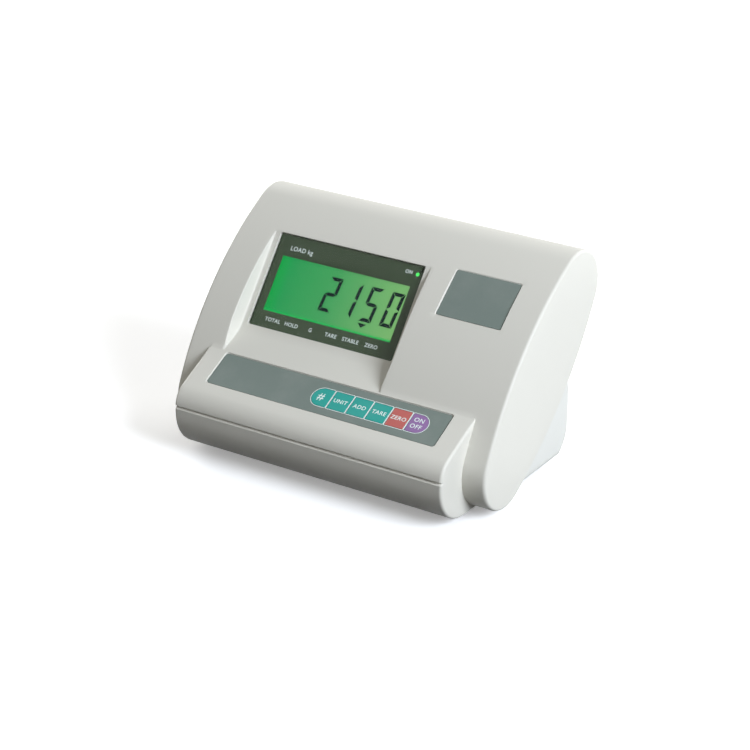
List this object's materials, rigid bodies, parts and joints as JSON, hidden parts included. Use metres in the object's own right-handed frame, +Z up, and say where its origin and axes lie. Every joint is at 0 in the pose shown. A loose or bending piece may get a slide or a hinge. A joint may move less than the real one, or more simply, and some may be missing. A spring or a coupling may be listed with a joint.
{
  "type": "weighing indicator",
  "caption": "Desk-top weighing indicator: bowed two-shell case with a sunk LCD window, a sloping shelf of colour keys, rear sockets and a battery bay with a hinged door.",
  "frame": {"origin": "on the table plane under the middle of the case: centred in width and depth, at the underside of the feet", "axes": "+X to the right as the user sees it, -Y towards the user, +Z up"},
  "size_m": [0.25, 0.171, 0.1555],
  "materials": {
    "case_plastic": "fine matte moulded grey",
    "rear_plastic": "fine matte moulded grey",
    "window_film": "clear window with a dark border",
    "mask_print": "dark printed border",
    "lcd": "green liquid crystal glass",
    "light_guide": "green-lit diffuser",
    "dark_plastic": "plain black plastic",
    "board_green": "green solder mask",
    "screw_steel": "plated steel",
    "lamp_green": "clear green",
    "panel_film": "grey-green film with a fine grain",
    "key_teal": "teal film",
    "key_red": "red film",
    "key_violet": "violet film",
    "white_plastic": "white plastic",
    "can": "sleeved can",
    "sink": "plain extrusion",
    "core_steel": "varnished laminations",
    "coil_tape": "amber tape over the winding",
    "sheet_steel": "plated sheet",
    "contact_metal": "plated contacts",
    "nickel": "satin nickel plate",
    "battery_case": "dark grey battery case",
    "foot_rubber": "black rubber",
    "ribbon_grey": "grey ribbon cable",
    "lead_red": "red insulation",
    "lead_blue": "blue insulation",
    "lead_brown": "brown insulation",
    "lead_black": "black insulation"
  },
  "bodies": {
    "case": {"front_shell": "case_plastic", "rear_shell": "rear_plastic", "display_window": "window_film", "window_mask": "mask_print", "lcd_glass": "lcd", "lcd_frame": "dark_plastic", "backlight": "light_guide", "display_board": "board_green", "display_chips": "dark_plastic", "display_board_screws": "screw_steel", "power_lamp": "lamp_green", "key_panel": "panel_film", "key_board": "board_green", "key_switches": "dark_plastic", "key_board_screws": "screw_steel", "blank_plate": "panel_film", "main_board": "board_green", "main_board_screws": "screw_steel", "main_board_chips": "dark_plastic", "board_headers": "white_plastic", "capacitors": "can", "heat_sink": "sink", "buzzer": "dark_plastic", "transformer_core": "core_steel", "transformer_coil": "coil_tape", "transformer_strap": "sheet_steel", "transformer_screws": "screw_steel", "mains_inlet": "dark_plastic", "inlet_pins": "contact_metal", "load_cell_socket": "nickel", "load_cell_nut": "nickel", "load_cell_insert": "dark_plastic", "load_cell_pins": "contact_metal", "serial_socket": "sheet_steel", "serial_insert": "dark_plastic", "serial_pins": "contact_metal", "serial_posts": "nickel", "battery": "battery_case", "battery_tabs": "contact_metal", "case_screws": "screw_steel", "rubber_feet": "foot_rubber", "display_ribbon": "ribbon_grey", "key_ribbon": "ribbon_grey", "battery_leads": "lead_red", "transformer_leads": "lead_blue", "mains_leads": "lead_brown", "load_cell_leads": "lead_black"},
    "door": {"battery_door": "rear_plastic"},
    "count_key": {"count_key": "key_teal"},
    "mode_key": {"mode_key": "key_teal"},
    "total_key": {"total_key": "key_teal"},
    "tare_key": {"tare_key": "key_teal"},
    "zero_key": {"zero_key": "key_red"},
    "power_key": {"power_key": "key_violet"}
  },
  "joints": [
    {"name": "battery_door_hinge", "type": "hinge", "parent": "case", "child": "door", "pos_m": [-0.0585, 0.05647, 0.00933], "axis": [-1, 0, 0], "range_deg": [0, 85]},
    {"name": "count_key_press", "type": "slide", "parent": "case", "child": "count_key", "axis": [0, 0.4493, -0.8934], "range_m": [0, 0.0004], "stiffness_N_per_m": 1500, "springref_m": -0.0002},
    {"name": "mode_key_press", "type": "slide", "parent": "case", "child": "mode_key", "axis": [0, 0.4493, -0.8934], "range_m": [0, 0.0004], "stiffness_N_per_m": 1500, "springref_m": -0.0002},
    {"name": "total_key_press", "type": "slide", "parent": "case", "child": "total_key", "axis": [0, 0.4493, -0.8934], "range_m": [0, 0.0004], "stiffness_N_per_m": 1500, "springref_m": -0.0002},
    {"name": "tare_key_press", "type": "slide", "parent": "case", "child": "tare_key", "axis": [0, 0.4493, -0.8934], "range_m": [0, 0.0004], "stiffness_N_per_m": 1500, "springref_m": -0.0002},
    {"name": "zero_key_press", "type": "slide", "parent": "case", "child": "zero_key", "axis": [0, 0.4493, -0.8934], "range_m": [0, 0.0004], "stiffness_N_per_m": 1500, "springref_m": -0.0002},
    {"name": "power_key_press", "type": "slide", "parent": "case", "child": "power_key", "axis": [0, 0.4493, -0.8934], "range_m": [0, 0.0004], "stiffness_N_per_m": 1500, "springref_m": -0.0002}
  ]
}
